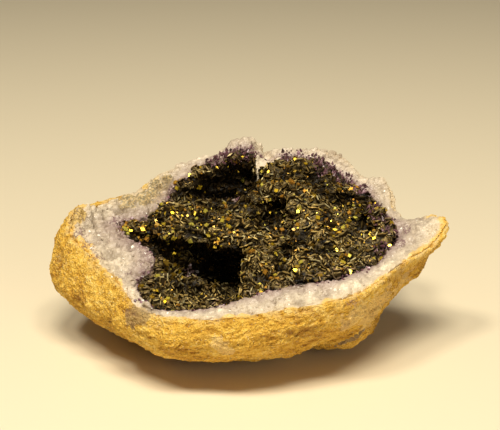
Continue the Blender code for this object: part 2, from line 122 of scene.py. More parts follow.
CREAM_BACK = ((47, 20, 37, 4.0), (45, 25, 41, 4.0), (46, 17, 36, 3.0), (29, 35, 49.5, 6), (22, 38, 50, 6),
              (36, 32, 46, 5), (-28, 30, 43, 5), (-20, 33, 46, 5), (-36, 26, 40, 4))
BROWN_KNOB = ((-32.2, 13, 35.5, 2.2),)

# Each lamp: place in metres, side in metres, power and colour.
LAMPS = (
    ("overhead", (-0.03, -0.38, 0.92), 0.25, 7.1, (1.0, 0.93, 0.8)),
    ("left", (-0.33, -0.34, 0.88), 0.16, 4.3, (1.0, 0.93, 0.8)),
    ("right", (0.2, -0.38, 0.9), 0.16, 3.1, (1.0, 0.93, 0.8)),
    ("front", (0.42, -0.86, 0.36), 0.4, 1.5, (1.0, 0.93, 0.82)),
)
ROOM_LIGHT = 0.055


# ---- Shapes


def select_only(piece):
    bpy.ops.object.select_all(action="DESELECT")
    piece.select_set(True)
    bpy.context.view_layer.objects.active = piece


def copy_of(node, name):
    """A layer's own mesh, sewn up, as the start of the piece that shows in its place."""
    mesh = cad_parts[node].data.copy()
    mesh.materials.clear()
    piece = bpy.data.objects.new(name, mesh)
    bpy.context.scene.collection.objects.link(piece)
    select_only(piece)
    bpy.ops.object.mode_set(mode="EDIT")
    bpy.ops.mesh.select_all(action="SELECT")
    bpy.ops.mesh.remove_doubles(threshold=1e-6)
    bpy.ops.object.mode_set(mode="OBJECT")
    return piece


def remesh(piece, size):
    modifier = piece.modifiers.new("even mesh", "REMESH")
    modifier.mode = "VOXEL"
    modifier.voxel_size = size
    select_only(piece)
    bpy.ops.object.modifier_apply(modifier=modifier.name)


def smooth(piece, factor, times):
    modifier = piece.modifiers.new("soften", "SMOOTH")
    modifier.factor = factor
    modifier.iterations = times
    select_only(piece)
    bpy.ops.object.modifier_apply(modifier=modifier.name)


def tree_of(node):
    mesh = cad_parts[node].data
    return BVHTree.FromPolygons([v.co for v in mesh.vertices], [p.vertices for p in mesh.polygons])


def places_of(mesh):
    places = np.empty(len(mesh.vertices) * 3, np.float32)
    mesh.vertices.foreach_get("co", places)
    normals = np.empty(len(mesh.vertices) * 3, np.float32)
    mesh.vertex_normals.foreach_get("vector", normals)
    return places.reshape(-1, 3), normals.reshape(-1, 3)


def raise_relief(piece, height_at):
    """Moves each point along its normal by a height in millimetres, and keeps the height as "relief"."""
    places, normals = places_of(piece.data)
    heights = np.array([height_at(Vector(p) / MM, n) for p, n in zip(places.tolist(), normals)], np.float32)
    places += normals * heights[:, None] * MM
    piece.data.vertices.foreach_set("co", places.ravel())
    keep_value(piece.data, "relief", heights)
    piece.data.update()


def keep_value(mesh, name, values):
    attribute = mesh.attributes.new(name, "FLOAT", "POINT")
    attribute.data.foreach_set("value", np.asarray(values, np.float32))


def chips(point, size, slope):
    """Height of flat chips of about this size, each tilted its own way."""
    _, centres = noise.voronoi(point / size)
    centre = centres[0]
    tilt = noise.cell_vector(centre * 7.3)
    return (point / size - centre).dot(tilt) * slope


def ridges(point, size, octaves=3):
    """Sharp crests between rounded hollows, from about 0 to 1."""
    return noise.ridged_multi_fractal(point / size, 0.9, 2.1, octaves, 1.0, 1.8) * 0.5


# ---- Rind


def rind_height(point, normal):
    flow = Vector((point.x * 0.45 + point.z * 0.3, point.y * 0.8, point.z * 1.2 - point.x * 0.3))
    broad = noise.noise(point / 8.0) * 0.7
    crease = (ridges(flow + Vector((7, 3, 1)), 4.5) - 0.8) * 0.35
    grain = noise.fractal(flow / 1.3, 0.5, 2.2, 3) * 0.35 + chips(flow, 1.6, 0.3)
    on_ground = clamp((point.z - 0.4) / 3.0)
    return (broad + crease + grain) * on_ground + 0.05


def make_rind_skin(quartz_tree):
    piece = copy_of("rind", "rind_skin")
    remesh(piece, SKIN_GRAIN)
    smooth(piece, 0.5, 2)

    def by_quartz(point):
        return clamp(1.4 - quartz_tree.find_nearest(point * MM)[3] / (1.3 * MM))

    def height(point, normal):
        near = by_quartz(point)
        return rind_height(point, normal) * (1 - near) + 0.25 * near

    places, _ = places_of(piece.data)
    joins = [by_quartz(Vector(place) / MM) for place in places.tolist()]
    raise_relief(piece, height)
    keep_value(piece.data, "join", joins)
    return piece


# ---- Quartz


def make_quartz_rock(rind_tree, crust_tree):
    piece = copy_of("quartz_wall", "quartz_rock")
    remesh(piece, QUARTZ_GRAIN)
    carve_pocket(piece, rind_tree, SPARE_QUARTZ)
    smooth(piece, 0.5, 1)
    places, _ = places_of(piece.data)
    to_rind = np.array([rind_tree.find_nearest(p)[3] for p in places.tolist()])
    to_crust = np.array([crust_tree.find_nearest(p)[3] for p in places.tolist()])

    def height(point, normal):
        by_rind = clamp(1.3 - rind_tree.find_nearest(point * MM)[3] / (1.2 * MM))
        return quartz_height(point, normal) + 0.12 * by_rind * clamp(normal[2] * 2)

    raise_relief(piece, height)
    keep_value(piece.data, "across", to_rind / (to_rind + to_crust))
    return piece


def quartz_height(point, normal):
    lumps = noise.noise(point / 6.0) * 1.1
    apart, _ = noise.voronoi(point / 2.6 + noise.noise_vector(point / 3.0) * 0.5)
    on_lobe = clamp((-18.0 - point.x) / 6.0)
    knobs = (0.5 - apart[0]) * (1.1 + 1.3 * on_lobe)
    upward = clamp(normal[2] * 2.0)
    rough = lumps + knobs + chips(point, 2.6, 0.4) + chips(point + Vector((9, 4, 2)), 1.3, 0.15)
    on_back = clamp((point.y - 24.0) / 5.0) * clamp((point.x + 12.0) / 8.0)
    return rough * upward + 0.3 * (1 - upward) - 0.1 + 0.9 * on_back * upward


# ---- Crystals


def up_in_view(point):
    """How high a point, in millimetres, appears to the camera."""
    return point.y * math.sin(VIEW_DOWN) + point.z * math.cos(VIEW_DOWN)


def in_pocket(point):
    """How far a point, in millimetres, lies inside the deep dark pocket below the peak, from 0 to 1."""
    up = up_in_view(point)
    wander = noise.noise(point / 3.0) * 0.8
    roof = 57.6 - max(0.0, -5.0 - point.x) * 0.62 + wander
    from_roof = clamp((roof - up) / 3.0)
    from_ledge = clamp((up - 42.9 + wander) / 1.4)
    from_cliff = clamp((2.9 - point.x) / 0.9)
    from_left = clamp((point.x + 22.0) / 5.0)
    return from_roof * from_ledge * from_cliff * from_left * clamp((point.y - 17.5) / 2.0)


def clamp(value):
    return min(1.0, max(0.0, value))


def carve_pocket(piece, rind_tree, spare):
    """Presses the pocket and the pits back into the stone, and stops this far before the rind."""
    back = Vector((0, math.cos(VIEW_DOWN), -math.sin(VIEW_DOWN)))
    for vertex in piece.data.vertices:
        point = vertex.co / MM
        push = in_pocket(point) * POCKET_DEPTH
        for x, y, z, reach, pit_depth in PITS:
            apart = (point - Vector((x, y, z))).length / reach
            push += pit_depth * clamp(1.6 - 1.6 * apart)
        if push > 0:
            room = rind_tree.ray_cast(vertex.co, back)[3] or 0.0
            push = min(push, max(0.0, room / MM - spare))
            vertex.co += back * push * MM


def white_break(point):
    """Where the quartz is broken bare beside the pocket: an upright fin, and a wedge right of its top."""
    wander = noise.noise(point / 2.0) * 0.7
    up = up_in_view(point)
    behind = clamp((point.y - 22.0) / 2.0)
    thread = clamp(1.5 - abs(point.x - FIN_X + 0.3 * wander) / 0.6) * clamp((up - 46.5) / 1.0) * behind
    if up < WEDGE_UP:
        thread *= 0.55
    wedge = clamp((6.3 + (up - WEDGE_UP) * 1.5 - point.x + wander) / 0.8) * clamp((point.x - 2.7) / 0.5)
    return max(thread, wedge * clamp((up - 54.0) / 0.6) * behind)


def cells(point):
    """How far a point is from the crest between two cells of the crust, and the way across that crest."""
    bent = Vector((point.x, point.y, point.z * 1.4)) + noise.noise_vector(point / 3.0) * 1.2
    apart, centres = noise.voronoi(bent / CELL)
    return apart[1] - apart[0], centres[1] - centres[0]


def step_up(point):
    """How far up the broad steps of the crust a point lies, from 0 in the dips between them to 1."""
    shelf = math.sin((point.z + 3.0 * noise.noise(point / 9.0) + 0.25 * point.x) * math.tau / 5.2)
    dips = noise.noise(Vector((point.x * 0.4, point.y * 0.7, point.z * 1.3)) / 2.6)
    return clamp(0.5 + 0.25 * shelf + 1.1 * dips)


def in_pits(point):
    """How far down in one of the pits a point lies, from 0 to 1."""
    deep = 0.0
    for x, y, z, reach, depth in PITS:
        middle = Vector((x, y + depth * 0.6, z - depth * 0.25))
        deep = max(deep, clamp(1.8 - 1.7 * (point - middle).length / reach))
    return deep


def painted_light_and_dust(point, normal):
    """How pale the crystals are painted, from a real tan coating mixed with painted light and shade: paler
    on upward faces and on the steps, with painted shade in the dips, pits, pocket and shaded places.
    """
    light = clamp(0.65 + 0.9 * normal[2]) * (0.08 + 0.92 * step_up(point))
    light *= clamp(1.05 + 1.9 * noise.noise(point / 5.5 + Vector((3, 1, 7))))
    light *= 1 - 0.93 * in_pocket(point - POCKET_SHADE_OFFSET)
    light *= 1 - 0.85 * in_pits(point)
    light *= 1 - 0.9 * clamp(1.8 * nearness(point * MM, PAINTED_SHADE_PLACES))
    return light * (1 - 0.62 * clamp(1.6 * nearness(point * MM, DIM_PLACES)))


def bed_height(point, normal):
    """Relief of the crust: steps and crests, and chips and a fin where the quartz is bare."""
    bare = white_break(point)
    gap, _ = cells(point)
    rough = 2.3 * step_up(point) - 1.7 + 0.9 * clamp(1 - gap / 0.5)
    fin = clamp(1.3 - abs(point.x - FIN_X) / 0.5) * bare
    return rough * (1 - bare) + bare * chips(point, 1.8, 0.4) + 0.9 * fin


def make_crystal_bed(rind_tree):
    piece = copy_of("crystal_crust", "crystal_bed")
    smooth(piece, 0.5, 3)
    remesh(piece, BED_GRAIN)
    carve_pocket(piece, rind_tree, SPARE_CRUST)
    remesh(piece, BED_GRAIN)
    smooth(piece, 0.5, 2)
    raise_relief(piece, bed_height)
    places, normals = places_of(piece.data)
    points = [Vector(place) / MM for place in places.tolist()]
    keep_value(piece.data, "white", [white_break(point) for point in points])
    keep_value(piece.data, "rim", [clamp(1.15 - cells(point)[0] / 0.3) for point in points])
    # Stores the tan coating with painted light and shade, for the colour of the crests.
    keep_value(piece.data, "dust_and_painted_light", [painted_light_and_dust(point, normal) for point, normal in zip(points, normals)])
    return piece


def crystal_form(name, sides, shoulder, top=0.0):
    """A crystal one unit wide and tall: a prism up to its shoulder, then a point or a flat top."""
    bpy.ops.object.select_all(action="DESELECT")
    middle = (0, 0, shoulder / 2)
    bpy.ops.mesh.primitive_cylinder_add(vertices=sides, radius=0.5, depth=shoulder, location=middle)
    form = bpy.context.object
    form.name = name
    bpy.ops.object.transform_apply(location=True)
    select_faces(form, lambda face: face.normal.z > 0.5)
    bpy.ops.mesh.extrude_region_move(TRANSFORM_OT_translate={"value": (0, 0, 1 - shoulder)})
    if top:
        bpy.ops.transform.resize(value=(top, top, 1))
        bpy.ops.object.mode_set(mode="OBJECT")
    else:
        bpy.ops.mesh.merge(type="CENTER")
        bpy.ops.object.mode_set(mode="OBJECT")
        select_faces(form, lambda face: face.center.z > shoulder * 1.01)
        bpy.ops.mesh.poke()
        bpy.ops.object.mode_set(mode="OBJECT")
    return form


def select_faces(piece, wanted):
    """Leaves the piece in edit mode with only the wanted faces selected."""
    select_only(piece)
    bpy.ops.object.mode_set(mode="EDIT")
    bpy.ops.mesh.select_all(action="DESELECT")
    bpy.ops.object.mode_set(mode="OBJECT")
    for face in piece.data.polygons:
        face.select = wanted(face)
    bpy.ops.object.mode_set(mode="EDIT")


def edge_values(form):
    """1 along the upper edges of a crystal, 0 in the middle of its faces and at its foot."""
    flat_topped = sum(vertex.co.z > 0.99 for vertex in form.data.vertices) > 1
    values = []
    for vertex in form.data.vertices:
        on_ring = math.hypot(vertex.co.x, vertex.co.y) > 0.49 and vertex.co.z > 0.01 and not flat_topped
        values.append(1.0 if on_ring or vertex.co.z > 0.99 else 0.0)
    return values


def find_seats(piece, spacing, wanted, seed):
    """Face centres and normals spread over a piece, with no two nearer than the spacing."""
    draw = random.Random(seed)
    faces = [(Vector(face.center), Vector(face.normal)) for face in piece.data.polygons]
    faces.sort(key=lambda face: tuple(round(c, 6) for c in face[0]))
    draw.shuffle(faces)
    cell = spacing * MM
    taken = {}
    seats = []
    steps = [(i, j, k) for i in (-1, 0, 1) for j in (-1, 0, 1) for k in (-1, 0, 1)]
    for centre, normal in faces:
        home = tuple(int(math.floor(c / cell)) for c in centre)
        around = [tuple(a + b for a, b in zip(home, step)) for step in steps]
        near = [taken[key] for key in around if key in taken]
        if home in taken or any((centre - other).length < cell for other in near):
            continue
        if wanted(centre, normal):
            taken[home] = centre
            seats.append((centre, normal))
    return seats


def grow(name, form, seats, kind, seed, edge_tree, face_to=None, along_crests=False):
    """One mesh of many copies of a crystal, each turned its own way or set along the crests."""
    draw = np.random.default_rng(seed)
    corners = np.array([vertex.co for vertex in form.data.vertices])
    sides = [list(face.vertices) for face in form.data.polygons]
    count = len(seats)
    feet = np.array([seat[0] for seat in seats])
    normals = np.array([seat[1] for seat in seats])
    axes = normals + draw.normal(0, kind["lean"], (count, 3))
    if face_to:
        axes = axes + np.array(face_to)
    axes /= np.linalg.norm(axes, axis=1)[:, None]
    across = np.cross(axes, draw.normal(0, 1, (count, 3)))
    if along_crests:
        crossing = np.array([cells(seat[0] / MM)[1] for seat in seats])
        across = np.cross(axes, crossing / np.linalg.norm(crossing, axis=1)[:, None]) + across * 0.25
    across /= np.linalg.norm(across, axis=1)[:, None]
    along = np.cross(axes, across)
    size = draw.random(count) ** 2.0
    low, high = kind["width"]
    wide = (low + (high - low) * size) * MM
    low, high = kind["height"]
    tall = (low + (high - low) * size) * (0.75 + 0.5 * draw.random(count)) * MM
    low, high = kind["thin"]
    thin = wide * (low + (high - low) * draw.random(count))
    feet = feet - axes * kind["sink"] * MM
    tall = tall + kind["sink"] * MM
    points = feet[:, None, :] + corners[None, :, 0, None] * (across * wide[:, None])[:, None, :]
    points = points + corners[None, :, 1, None] * (along * thin[:, None])[:, None, :]
    points = points + corners[None, :, 2, None] * (axes * tall[:, None])[:, None, :]
    faces = [[index * len(corners) + corner for corner in side] for index in range(count) for side in sides]
    mesh = bpy.data.meshes.new(name)
    mesh.from_pydata(points.reshape(-1, 3).tolist(), [], faces)
    keep_value(mesh, "tone", np.repeat(draw.random(count), len(corners)))
    keep_value(mesh, "tint", np.repeat(draw.random(count), len(corners)))
    keep_value(mesh, "edge", np.tile(edge_values(form), count))
    by_edge = [clamp(1.5 - edge_tree.find_nearest(seat[0])[3] / (2.2 * MM)) for seat in seats]
    keep_value(mesh, "lip", np.repeat(by_edge, len(corners)))
    # Each crystal's tan coating with painted light and shade, for the colour of its upper edges.
    dust_and_painted_light = [painted_light_and_dust(seat[0] / MM, seat[1]) for seat in seats]
    keep_value(mesh, "dust_and_painted_light", np.repeat(dust_and_painted_light, len(corners)))
    piece = bpy.data.objects.new(name, mesh)
    bpy.context.scene.collection.objects.link(piece)
    return piece


def nearness(place, spots):
    """1 in the middle of the nearest spot, 0 outside them all, with a ragged edge."""
    point = place / MM
    wander = noise.noise(point / 2.5) * 1.5
    best = 0.0
    for x, y, z, reach in spots:
        best = max(best, 1 - ((point - Vector((x, y, z))).length + wander) / reach)
    return best


def make_crystals(bed, quartz, quartz_tree, rind_tree, crust_tree):
    chance = random.Random(29)

    def in_hollow(place):
        return quartz_tree.find_nearest(place)[3] > 0.35 * MM and white_break(place / MM) < 0.5

    def off_purple(place):
        return nearness(place, PURPLE_PLACES) < 0.12 + 0.3 * chance.random()

    def blade_seat(place, normal):
        on_crest = cells(place / MM)[0] < 0.2 and step_up(place / MM) > 0.12
        return on_crest and in_hollow(place) and off_purple(place)

    def point_seat(place, normal):
        return cells(place / MM)[0] > 0.15 and in_hollow(place) and off_purple(place)

    def gold_seat(place, normal):
        if not in_hollow(place) or not off_purple(place):
            return False
        patchy = max(0.0, noise.noise(place / MM / 5.0))
        likely = 0.02 + 0.45 * patchy + 0.55 * max(0, nearness(place, GOLD_PLACES))
        likely *= (0.3 + 0.7 * step_up(place / MM)) * (1 - 0.7 * in_pits(place / MM))
        likely *= 1 - 0.9 * clamp(1.8 * nearness(place, PAINTED_SHADE_PLACES))
        return chance.random() < likely * (1 - 0.85 * in_pocket(place / MM - POCKET_SHADE_OFFSET))

    def purple_seat(place, normal):
        return in_hollow(place) and nearness(place, PURPLE_PLACES) > 0.1 + 0.3 * chance.random()

    def lip_seat(place, normal):
        if normal[2] < 0.1 and normal[1] > -0.3:
            return False
        from_crust = crust_tree.find_nearest(place)[3] / MM
        at_back = place.y > 24 * MM and -13 * MM < place.x < 3 * MM
        if at_back and from_crust < 0.9 + 0.8 * chance.random():
            return chance.random() < 0.8
        reach = 2.3 if place.x > 9 * MM else 1.0
        return from_crust < reach and nearness(place, PURPLE_PLACES) > 0.2 + 0.5 * chance.random()

    def spill_seat(place, normal):
        from_crust = crust_tree.find_nearest(place)[3] / MM
        patchy = noise.noise(place / MM / 3.0)
        near_crust = 0.3 < from_crust < 0.7 + 3.5 * max(0.0, patchy)
        return normal[2] > 0.1 and near_crust and chance.random() < 0.5

    def broken_seat(place, normal):
        if rind_tree.find_nearest(place)[3] < 1.0 * MM or crust_tree.find_nearest(place)[3] <= 0.75 * MM:
            return False
        return place.y <= 28 * MM and noise.noise(place / MM / 4.0) >= -0.1

    def lilac_seat(place, normal):
        return nearness(place, (LILAC_PLACE,)) > 0.1

    point = crystal_form("crystal_point", 6, 0.35)
    blade = crystal_form("crystal_blade", 4, 0.55, 0.8)
    facet = crystal_form("crystal_facet", 5, 0.3)
    plate = crystal_form("crystal_plate", 4, 0.6, 0.85)
    seats = find_seats(bed, BLADES["spacing"], blade_seat, 3)
    blades = grow("bronze_blades", blade, seats, BLADES, 13, quartz_tree, along_crests=True)
    seats = find_seats(bed, POINTS["spacing"], point_seat, 2)
    points = grow("bronze_points", facet, seats, POINTS, 14, quartz_tree)
    seats = find_seats(bed, GOLD["spacing"], gold_seat, 4)
    gold = grow("gold_crystals", plate, seats, GOLD, 15, quartz_tree, face_to=(0, -0.72, 0.6))
    seats = find_seats(bed, PURPLE["spacing"], purple_seat, 5)
    seats += find_seats(quartz, PURPLE["spacing"], lip_seat, 6)
    purple = grow("amethyst_points", point, seats, PURPLE, 17, quartz_tree, face_to=(0, 0, 0.5))
    seats = find_seats(quartz, SPILL["spacing"], spill_seat, 8)
    spill = grow("lip_crystals", facet, seats, SPILL, 18, quartz_tree)
    seats = find_seats(bed, LILAC["spacing"], lilac_seat, 9)
    lilac = grow("lilac_crystals", point, seats, LILAC, 20, quartz_tree)
    seats = find_seats(quartz, MILKY["spacing"], broken_seat, 7)
    milky = grow("quartz_grains", facet, seats, MILKY, 19, quartz_tree)
    to_rind = np.array([rind_tree.find_nearest(seat[0])[3] for seat in seats])
    to_crust = np.array([crust_tree.find_nearest(seat[0])[3] for seat in seats])
    keep_value(milky.data, "across", np.repeat(to_rind / (to_rind + to_crust), len(facet.data.vertices)))
    for form in (point, blade, facet, plate):
        bpy.data.objects.remove(form)
    return blades, points, gold, purple, spill, lilac, milky


# ---- Materials


def new_material(name):
    material = bpy.data.materials.new(name)
    material.use_nodes = True
    return material, material.node_tree, material.node_tree.nodes["Principled BSDF"]


def add(tree, kind, inputs=None, **settings):
    node = tree.nodes.new(kind)
    for name, value in settings.items():
        setattr(node, name, value)
    for name, value in (inputs or {}).items():
        if isinstance(value, bpy.types.NodeSocket):
            tree.links.new(value, node.inputs[name])
        else:
            node.inputs[name].default_value = value
    return node


def ramp(tree, value, stops):
    node = add(tree, "ShaderNodeValToRGB", {"Fac": value})
    line = node.color_ramp
    while len(line.elements) < len(stops):
        line.elements.new(0.5)
    for element, (place, colour) in zip(line.elements, stops):
        element.position = place
        element.color = (*colour, 1.0) if isinstance(colour, tuple) else (colour, colour, colour, 1.0)
    return node.outputs["Color"]


def value_of(tree, name):
    return add(tree, "ShaderNodeAttribute", attribute_name=name).outputs["Fac"]


def mix(tree, share, a, b):
    node = add(tree, "ShaderNodeMix", data_type="RGBA")
    for slot, value in ((0, share), (6, a), (7, b)):
        if isinstance(value, bpy.types.NodeSocket):
            tree.links.new(value, node.inputs[slot])
        elif isinstance(value, tuple):
            node.inputs[slot].default_value = (*value, 1.0)
        else:
            node.inputs[slot].default_value = value
    return node.outputs[2]


def calc(tree, operation, a, b=0.0, limited=False):
    node = add(tree, "ShaderNodeMath", operation=operation, use_clamp=limited)
    for slot, value in ((0, a), (1, b)):
        if isinstance(value, bpy.types.NodeSocket):
            tree.links.new(value, node.inputs[slot])
        else:
            node.inputs[slot].default_value = value
    return node.outputs[0]


def between(tree, value, low, high):
    node = add(tree, "ShaderNodeMapRange", {"Value": value, "From Min": low, "From Max": high})
    node.interpolation_type = "SMOOTHSTEP"
    return node.outputs["Result"]


def make_mottle():
    """Soft uneven patches, and the specks that stand out in them. Size is in millimetres."""
    group = bpy.data.node_groups.new("mottle", "ShaderNodeTree")
    group.interface.new_socket("Place", in_out="INPUT", socket_type="NodeSocketVector")
    size = group.interface.new_socket("Size", in_out="INPUT", socket_type="NodeSocketFloat")
    size.default_value = 3.0
    share = group.interface.new_socket("Speck Share", in_out="INPUT", socket_type="NodeSocketFloat")
    share.default_value = 0.1
    group.interface.new_socket("Patches", in_out="OUTPUT", socket_type="NodeSocketFloat")
    group.interface.new_socket("Specks", in_out="OUTPUT", socket_type="NodeSocketFloat")
    start = add(group, "NodeGroupInput")
    end = add(group, "NodeGroupOutput")
    scale = calc(group, "DIVIDE", 1 / MM, start.outputs["Size"])
    place = start.outputs["Place"]
    cloud = add(group, "ShaderNodeTexNoise", {"Vector": place, "Scale": scale, "Detail": 4.0})
    grains = add(group, "ShaderNodeTexVoronoi", {"Vector": place, "Scale": scale})
    lot = calc(group, "FRACT", calc(group, "MULTIPLY", grains.outputs["Color"], 7.3))
    chosen = calc(group, "LESS_THAN", lot, start.outputs["Speck Share"])
    apart = calc(group, "MULTIPLY", grains.outputs["Distance"], 1.9)
    near = calc(group, "SUBTRACT", 1.0, apart, limited=True)
    group.links.new(cloud.outputs["Fac"], end.inputs["Patches"])
    group.links.new(calc(group, "MULTIPLY", chosen, near), end.inputs["Specks"])
    return group


def mottled(tree, group, place, size, share=0.1):
    node = add(tree, "ShaderNodeGroup", node_tree=group)
    tree.links.new(place, node.inputs["Place"])
    node.inputs["Size"].default_value = size
    node.inputs["Speck Share"].default_value = share
    return node.outputs["Patches"], node.outputs["Specks"]


def object_place(tree):
    return add(tree, "ShaderNodeTexCoord").outputs["Object"]


def bump(tree, shader, height, distance):
    node = add(tree, "ShaderNodeBump", {"Height": height, "Distance": distance * MM, "Strength": 1.0})
    tree.links.new(node.outputs["Normal"], shader.inputs["Normal"])


def make_patch():
    """A ragged round patch. Centre and Reach are in metres; the mask is 1 inside it."""
    group = bpy.data.node_groups.new("patch", "ShaderNodeTree")
    for name in ("Place", "Centre"):
        group.interface.new_socket(name, in_out="INPUT", socket_type="NodeSocketVector")
    for name in ("Reach", "Raggedness"):
        group.interface.new_socket(name, in_out="INPUT", socket_type="NodeSocketFloat")
    group.interface.new_socket("Mask", in_out="OUTPUT", socket_type="NodeSocketFloat")
    start = add(group, "NodeGroupInput")
    end = add(group, "NodeGroupOutput")
    place = start.outputs["Place"]
    apart = add(group, "ShaderNodeVectorMath", {0: place, 1: start.outputs["Centre"]}, operation="DISTANCE")
    grain = add(group, "ShaderNodeTexNoise", {"Vector": place, "Scale": 420.0, "Detail": 4.0})
    ragged = calc(group, "SUBTRACT", grain.outputs["Fac"], 0.5)
    ragged = calc(group, "MULTIPLY", ragged, start.outputs["Raggedness"])
    share = calc(group, "DIVIDE", apart.outputs["Value"], start.outputs["Reach"])
    share = calc(group, "ADD", share, ragged)
    group.links.new(between(group, share, 1.05, 0.75), end.inputs["Mask"])
    return group


def patches(tree, group, place, spots, raggedness=1.6):
    """One mask for several ragged patches, each given as centre x, y, z and reach in millimetres."""
    total = None
    for x, y, z, reach in spots:
        node = add(tree, "ShaderNodeGroup", node_tree=group)
        tree.links.new(place, node.inputs["Place"])
        node.inputs["Centre"].default_value = (x * MM, y * MM, z * MM)
        node.inputs["Reach"].default_value = reach * MM
        node.inputs["Raggedness"].default_value = raggedness
        total = calc(tree, "MAXIMUM", total, node.outputs["Mask"]) if total else node.outputs["Mask"]
    return total


def stretched(tree, place, turn, scale):
    node = add(tree, "ShaderNodeMapping", {"Vector": place, "Rotation": turn, "Scale": scale})
    return node.outputs["Vector"]


def make_rind_material(mottle, patch):
    material, tree, shader = new_material("weathered_ochre")
    place = object_place(tree)
    flow = stretched(tree, place, (0.2, -0.35, 0.15), (0.4, 0.8, 1.0))
    broad, _ = mottled(tree, mottle, place, 10.0)
    streaks, pits = mottled(tree, mottle, flow, 1.5, 0.1)
    middle, freckles = mottled(tree, mottle, place, 2.4, 0.12)
    fine, pale_grains = mottled(tree, mottle, place, 0.6, 0.2)
    relief = value_of(tree, "relief")
    tone = calc(tree, "MULTIPLY", broad, 0.3)
    tone = calc(tree, "ADD", tone, calc(tree, "MULTIPLY", streaks, 0.35))
    tone = calc(tree, "ADD", tone, calc(tree, "MULTIPLY", middle, 0.2))
    tone = calc(tree, "ADD", tone, calc(tree, "MULTIPLY", fine, 0.3))
    ochre = ramp(tree, tone, [(0.42, (0.28, 0.12, 0.012)), (0.5, (0.54, 0.28, 0.03)),
                              (0.58, (0.74, 0.44, 0.06)), (0.66, (0.87, 0.58, 0.12)),
                              (0.76, (0.94, 0.73, 0.32))])
    # Painted shade: darker in the deep creases of the relief, except at the join with the quartz.
    hollow = calc(tree, "MULTIPLY", between(tree, relief, -0.1, -0.6),
                  calc(tree, "SUBTRACT", 1.0, value_of(tree, "join")))
    ochre = mix(tree, calc(tree, "MULTIPLY", hollow, 0.5), ochre, (0.28, 0.11, 0.02))
    ochre = mix(tree, calc(tree, "MULTIPLY", pale_grains, 0.55), ochre, (0.95, 0.78, 0.46))
    ochre = mix(tree, calc(tree, "MULTIPLY", freckles, 0.35), ochre, (0.36, 0.15, 0.04))
    ochre = mix(tree, calc(tree, "MULTIPLY", pits, 0.7), ochre, (0.2, 0.08, 0.02))
    # A cream border where the rind meets the quartz, partly its real colour, partly painted light that
    # lifts the shaded line at the join.
    join = calc(tree, "MULTIPLY", value_of(tree, "join"), between(tree, middle, 0.35, 0.6))
    ochre = mix(tree, calc(tree, "MULTIPLY", join, 0.75), ochre, (0.82, 0.62, 0.3))
    grey = patches(tree, patch, place, GREY_STREAK, 0.9)
    ochre = mix(tree, calc(tree, "MULTIPLY", grey, 0.75), ochre, (0.19, 0.15, 0.12))
    notch = patches(tree, patch, place, NOTCH, 2.6)
    ochre = mix(tree, calc(tree, "MULTIPLY", notch, 0.65), ochre, (0.26, 0.18, 0.11))
    purple = patches(tree, patch, place, PURPLE_STAINS, 2.6)
    purple = calc(tree, "MULTIPLY", purple, between(tree, fine, 0.45, 0.6))
    ochre = mix(tree, calc(tree, "MULTIPLY", purple, 0.75), ochre, (0.2, 0.07, 0.08))
    # Paler patches: a real streak in front, and painted light on the right end.
    pale = patches(tree, patch, place, PALE_STREAK_AND_PAINTED_LIGHT, 2.0)
    ochre = mix(tree, calc(tree, "MULTIPLY", pale, 0.35), ochre, (0.95, 0.75, 0.4))
    cream = patches(tree, patch, place, CREAM_BACK, 1.2)
    ochre = mix(tree, calc(tree, "MULTIPLY", cream, 0.85), ochre, (0.7, 0.58, 0.4))
    tree.links.new(ochre, shader.inputs["Base Color"])
    shader.inputs["Roughness"].default_value = 0.88
    shader.inputs["Specular IOR Level"].default_value = 0.25
    height = calc(tree, "ADD", calc(tree, "MULTIPLY", fine, 0.9), calc(tree, "MULTIPLY", streaks, 1.1))
    height = calc(tree, "ADD", height, calc(tree, "MULTIPLY", pale_grains, 0.25))
    bump(tree, shader, calc(tree, "ADD", height, calc(tree, "MULTIPLY", middle, 0.5)), 1.1)
    return material


def quartz_colour(tree, mottle, place):
    """The colour of milky quartz with near-white specks painted in as sparkle highlights, and its broad
    patches, fine grain and specks as masks.
    """
    broad, _ = mottled(tree, mottle, place, 8.0)
    middle, specks = mottled(tree, mottle, place, 1.8, 0.35)
    fine, painted_glint_specks = mottled(tree, mottle, place, 0.7, 0.2)
    tone = calc(tree, "ADD", calc(tree, "MULTIPLY", broad, 0.55), calc(tree, "MULTIPLY", middle, 0.38))
    tone = calc(tree, "ADD", tone, calc(tree, "MULTIPLY", fine, 0.12))
    stone = ramp(tree, tone, [(0.4, (0.36, 0.28, 0.21)), (0.5, (0.5, 0.41, 0.3)),
                              (0.6, (0.63, 0.53, 0.39)), (0.7, (0.82, 0.72, 0.53))])
    # Near-white specks painted in as sparkle, a painted highlight.
    stone = mix(tree, calc(tree, "MULTIPLY", painted_glint_specks, 0.5), stone, (0.92, 0.84, 0.68))
    return stone, broad, fine, specks


